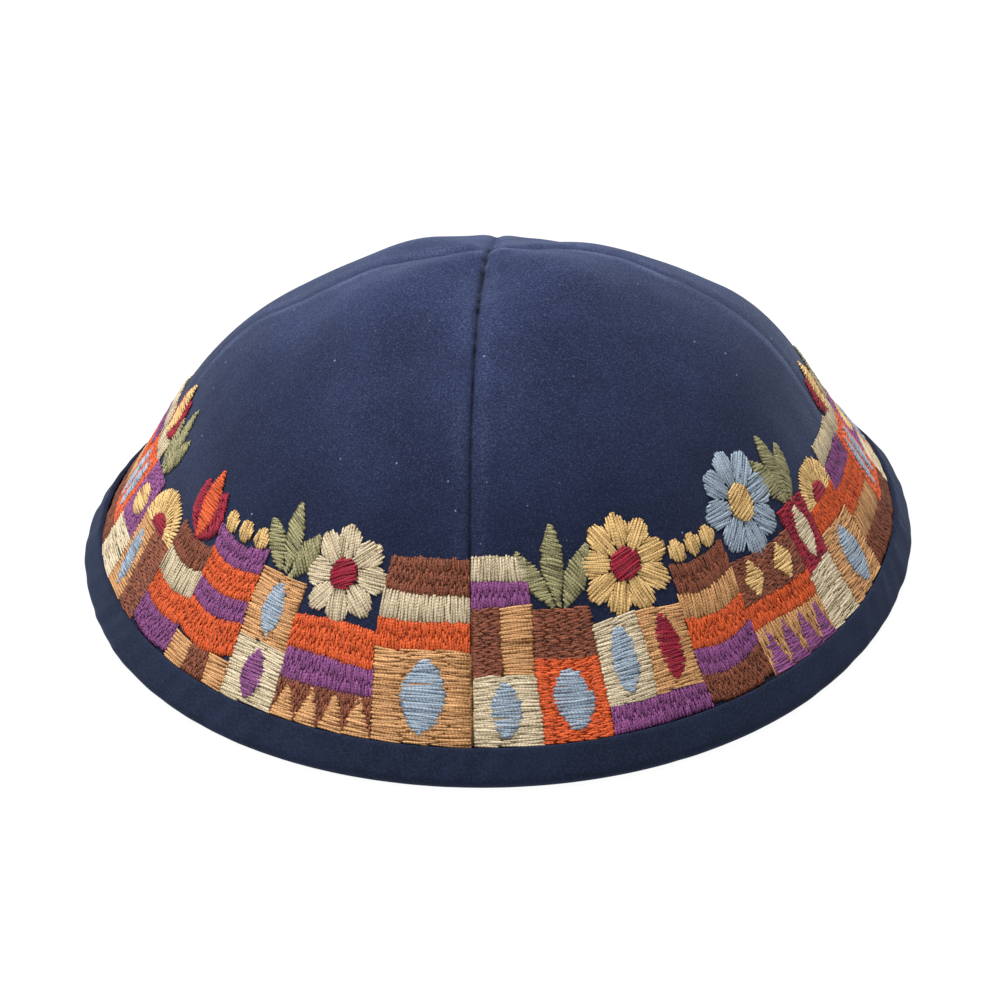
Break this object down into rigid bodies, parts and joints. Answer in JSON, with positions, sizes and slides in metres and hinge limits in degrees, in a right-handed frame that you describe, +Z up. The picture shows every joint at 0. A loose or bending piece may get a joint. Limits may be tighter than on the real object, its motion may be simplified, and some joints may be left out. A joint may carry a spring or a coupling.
{
  "type": "skullcap",
  "caption": "Soft skullcap of four sewn suede panels with a bound rim and a raised embroidered border, standing open side down.",
  "frame": {"origin": "on the table under the middle of the cap's rim", "axes": "+Z up through the crown, -Y towards the front seam that faces the viewer, +X to the viewer's right"},
  "size_m": [0.1758, 0.1756, 0.0722],
  "materials": {
    "suede": "brushed navy suede, matte",
    "binding": "smooth dark navy cloth",
    "thread": "dense stitches of shiny thread in many colours"
  },
  "bodies": {
    "root": {"panel_front_left": "suede", "panel_front_right": "suede", "panel_back_left": "suede", "panel_back_right": "suede", "rim_binding": "binding", "embroidery_front_left": "thread", "embroidery_front_right": "thread", "embroidery_back_left": "thread", "embroidery_back_right": "thread"}
  },
  "joints": []
}
